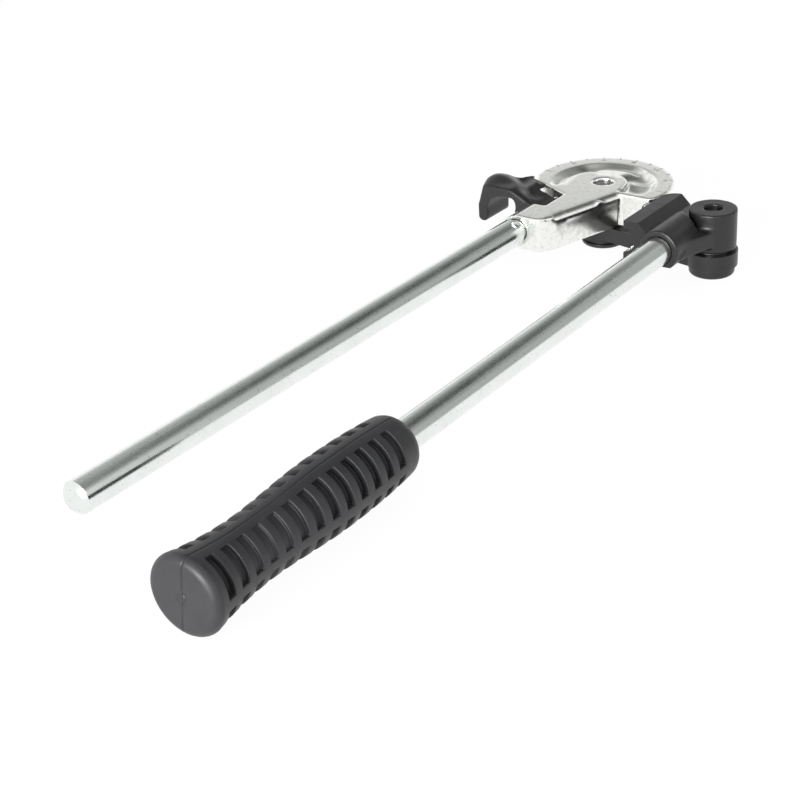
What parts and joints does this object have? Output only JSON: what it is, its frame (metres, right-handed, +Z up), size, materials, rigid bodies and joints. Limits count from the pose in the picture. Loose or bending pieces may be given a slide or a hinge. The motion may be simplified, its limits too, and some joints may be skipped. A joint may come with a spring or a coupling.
{
  "type": "pipe bender",
  "caption": "Hand lever tube bender with a grooved former on a fixed rod, a folding tube hook and a link-carried lever with forming shoe and ribbed grip.",
  "frame": {"origin": "on the bending axis, at the flat underside of its cap, where the tool rests", "axes": "+Z up along the bending axis, the fixed rod runs from the former towards -Y, the lever lies on the +X side"},
  "size_m": [0.158, 0.4874, 0.0463],
  "materials": {
    "cast_aluminium": "tumbled casting",
    "plated_steel": "bright zinc plate",
    "plain_steel": "plain",
    "black_enamel": "satin black",
    "black_cap": "satin black",
    "bronze": "plain",
    "black_rubber": "matte"
  },
  "bodies": {
    "former_side": {"former": "cast_aluminium", "fixed_rod": "plated_steel", "fixed_rod_lock_pin": "plain_steel", "hook_pin": "plain_steel", "pivot_pin": "plain_steel", "pivot_retaining_ring": "plain_steel", "pivot_cap": "black_cap", "pivot_thrust_washer": "plain_steel"},
    "link": {"link": "black_enamel", "link_pivot_bush": "bronze", "link_lever_bush": "bronze"},
    "lever": {"lever_head": "black_enamel", "forming_shoe": "black_enamel", "shoe_dowels": "plain_steel", "lever_pin": "plain_steel", "lever_retaining_ring": "plain_steel", "lever_cap": "black_cap", "lever_thrust_washer": "plain_steel", "lever_rod": "plated_steel", "lever_rod_lock_pin": "plain_steel", "lever_grip": "black_rubber"},
    "hook": {"tube_hook": "black_enamel"}
  },
  "joints": [
    {"name": "bend_pivot", "type": "hinge", "parent": "former_side", "child": "link", "pos_m": [0, 0, 0.0278], "axis": [0, 0, 1], "range_deg": [0, 180]},
    {"name": "lever_pivot", "type": "hinge", "parent": "link", "child": "lever", "pos_m": [0.0776, -0.0125, 0.0278], "axis": [0, 0, 1], "range_deg": [0, 120]},
    {"name": "hook_hinge", "type": "hinge", "parent": "former_side", "child": "hook", "pos_m": [-0.017, -0.0385, 0.0278], "axis": [0, 1, 0], "range_deg": [0, 65]}
  ]
}
